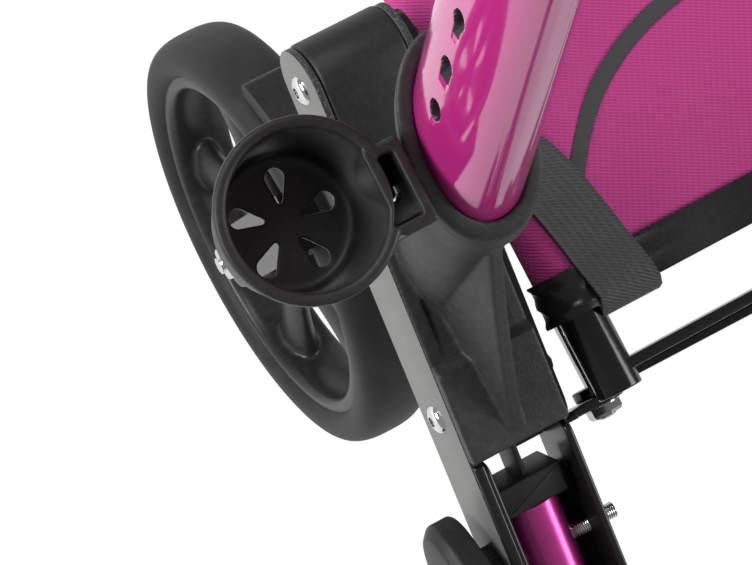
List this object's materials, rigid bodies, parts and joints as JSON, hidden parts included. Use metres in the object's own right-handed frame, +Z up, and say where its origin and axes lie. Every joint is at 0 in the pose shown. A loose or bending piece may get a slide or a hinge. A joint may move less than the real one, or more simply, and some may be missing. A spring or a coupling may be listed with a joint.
{
  "type": "folding rollator",
  "caption": "Folding walking frame on wheels with a cross brace, seat sling, back strap, cup holder, sliding handles and hand brakes.",
  "frame": {"origin": "on the floor under the middle of the whole object's box", "axes": "+Z up, +Y towards the front castors, +X to the user's right"},
  "size_m": [0.7484, 0.8724, 0.9243],
  "materials": {
    "plate_steel": "satin",
    "black_plastic": "grained",
    "rim_plastic": "satin",
    "black_paint": "gloss",
    "magenta_metal": "metallic",
    "magenta_gloss": "high gloss",
    "rubber": "satin",
    "grip_rubber": "matt",
    "chrome": "bright",
    "seat_vinyl": "coated cloth",
    "strap_webbing": "twill webbing"
  },
  "bodies": {
    "frame_right": {"outer_plate_right": "plate_steel", "inner_plate_right": "plate_steel", "rear_block_right": "black_plastic", "hub_casting_right": "black_plastic", "front_channel_right": "black_paint", "front_leg_right": "magenta_metal", "rear_leg_right": "black_paint", "rear_axle_right": "chrome", "upright_right": "black_paint", "upright_cover_right": "magenta_gloss", "rear_bolt_right": "chrome", "front_bolt_right": "chrome", "brace_bracket_right": "black_paint", "pivot_rod_right": "chrome", "backrest_strap": "strap_webbing", "cup_holder": "black_plastic"},
    "brace_a": {"brace_from_right": "black_paint", "centre_rod": "chrome", "seat_sling": "seat_vinyl"},
    "brace_b": {"brace_from_left": "black_paint"},
    "frame_left": {"outer_plate_left": "plate_steel", "inner_plate_left": "plate_steel", "rear_block_left": "black_plastic", "hub_casting_left": "black_plastic", "front_channel_left": "black_paint", "front_leg_left": "magenta_metal", "rear_leg_left": "black_paint", "rear_axle_left": "chrome", "upright_left": "black_paint", "upright_cover_left": "magenta_gloss", "rear_bolt_left": "chrome", "front_bolt_left": "chrome", "brace_bracket_left": "black_paint", "pivot_rod_left": "chrome"},
    "rear_wheel_right": {"rear_rim_right": "rim_plastic", "rear_tyre_right": "rubber"},
    "castor_right": {"castor_fork_right": "black_paint", "front_axle_right": "chrome"},
    "front_wheel_right": {"front_rim_right": "rim_plastic", "front_tyre_right": "rubber"},
    "handle_right": {"handle_tube_right": "black_paint", "handle_grip_right": "grip_rubber", "lever_clamp_right": "black_plastic"},
    "brake_lever_right_body": {"brake_lever_right": "black_plastic"},
    "brake_shoe_right_body": {"brake_shoe_right": "black_plastic"},
    "height_knob_right_body": {"height_knob_right": "black_plastic"},
    "leg_knob_right_body": {"leg_knob_right": "black_plastic"},
    "rear_wheel_left": {"rear_rim_left": "rim_plastic", "rear_tyre_left": "rubber"},
    "castor_left": {"castor_fork_left": "black_paint", "front_axle_left": "chrome"},
    "front_wheel_left": {"front_rim_left": "rim_plastic", "front_tyre_left": "rubber"},
    "handle_left": {"handle_tube_left": "black_paint", "handle_grip_left": "grip_rubber", "lever_clamp_left": "black_plastic"},
    "brake_lever_left_body": {"brake_lever_left": "black_plastic"},
    "brake_shoe_left_body": {"brake_shoe_left": "black_plastic"},
    "height_knob_left_body": {"height_knob_left": "black_plastic"},
    "leg_knob_left_body": {"leg_knob_left": "black_plastic"}
  },
  "joints": [
    {"name": "fold", "type": "hinge", "parent": "frame_right", "child": "brace_a", "pos_m": [0.17315, 0.07223, 0.35], "axis": [0, 1, 0], "range_deg": [0, 60], "deforming": ["seat_sling", "backrest_strap"]},
    {"name": "brace_cross", "type": "hinge", "parent": "brace_a", "child": "brace_b", "pos_m": [-0.03985, 0.07223, 0.37724], "axis": [0, 1, 0], "range_deg": [-120, 0]},
    {"name": "left_pivot", "type": "hinge", "parent": "brace_b", "child": "frame_left", "pos_m": [-0.25285, 0.07223, 0.35], "axis": [0, 1, 0], "range_deg": [0, 60]},
    {"name": "rear_wheel_spin_right", "type": "hinge", "parent": "frame_right", "child": "rear_wheel_right", "pos_m": [0.22215, -0.16277, 0.127], "axis": [1, 0, 0], "continuous": true},
    {"name": "castor_swivel_right", "type": "hinge", "parent": "frame_right", "child": "castor_right", "pos_m": [0.22215, 0.36923, 0.2266], "axis": [0, 0, 1], "continuous": true},
    {"name": "front_wheel_spin_right", "type": "hinge", "parent": "castor_right", "child": "front_wheel_right", "pos_m": [0.22215, 0.33423, 0.102], "axis": [1, 0, 0], "continuous": true},
    {"name": "handle_height_right", "type": "slide", "parent": "frame_right", "child": "handle_right", "axis": [0, -0.2924, 0.9563], "range_m": [0, 0.1]},
    {"name": "brake_squeeze_right", "type": "hinge", "parent": "handle_right", "child": "brake_lever_right_body", "pos_m": [0.23515, -0.30523, 0.87026], "axis": [-1, 0, 0], "range_deg": [0, 11], "stiffness_Nm_per_rad": 1.5, "springref_deg": -5.73},
    {"name": "shoe_press_right", "type": "hinge", "parent": "frame_right", "child": "brake_shoe_right_body", "pos_m": [0.22215, -0.19177, 0.27], "axis": [1, 0, 0], "range_deg": [0, 4]},
    {"name": "height_knob_turn_right", "type": "hinge", "parent": "frame_right", "child": "height_knob_right_body", "pos_m": [0.23515, -0.24343, 0.84572], "axis": [1, 0, 0], "range_deg": [0, 270]},
    {"name": "leg_knob_turn_right", "type": "hinge", "parent": "frame_right", "child": "leg_knob_right_body", "pos_m": [0.23515, 0.04883, 0.35219], "axis": [1, 0, 0], "range_deg": [0, 270]},
    {"name": "rear_wheel_spin_left", "type": "hinge", "parent": "frame_left", "child": "rear_wheel_left", "pos_m": [-0.30185, -0.16277, 0.127], "axis": [1, 0, 0], "continuous": true},
    {"name": "castor_swivel_left", "type": "hinge", "parent": "frame_left", "child": "castor_left", "pos_m": [-0.30185, 0.36923, 0.2266], "axis": [0, 0, 1], "continuous": true},
    {"name": "front_wheel_spin_left", "type": "hinge", "parent": "castor_left", "child": "front_wheel_left", "pos_m": [-0.30185, 0.33423, 0.102], "axis": [1, 0, 0], "continuous": true},
    {"name": "handle_height_left", "type": "slide", "parent": "frame_left", "child": "handle_left", "axis": [0, -0.2924, 0.9563], "range_m": [0, 0.1]},
    {"name": "brake_squeeze_left", "type": "hinge", "parent": "handle_left", "child": "brake_lever_left_body", "pos_m": [-0.31485, -0.30523, 0.87026], "axis": [-1, 0, 0], "range_deg": [0, 11], "stiffness_Nm_per_rad": 1.5, "springref_deg": -5.73},
    {"name": "shoe_press_left", "type": "hinge", "parent": "frame_left", "child": "brake_shoe_left_body", "pos_m": [-0.30185, -0.19177, 0.27], "axis": [1, 0, 0], "range_deg": [0, 4]},
    {"name": "height_knob_turn_left", "type": "hinge", "parent": "frame_left", "child": "height_knob_left_body", "pos_m": [-0.31485, -0.24343, 0.84572], "axis": [1, 0, 0], "range_deg": [0, 270]},
    {"name": "leg_knob_turn_left", "type": "hinge", "parent": "frame_left", "child": "leg_knob_left_body", "pos_m": [-0.31485, 0.04883, 0.35219], "axis": [1, 0, 0], "range_deg": [0, 270]}
  ],
  "couplings": [
    {"joint": "brace_cross", "follows": "fold", "ratio": -2},
    {"joint": "left_pivot", "follows": "fold", "ratio": 1},
    {"joint": "shoe_press_right", "follows": "brake_squeeze_right", "ratio": 0.3},
    {"joint": "shoe_press_left", "follows": "brake_squeeze_left", "ratio": 0.3}
  ]
}
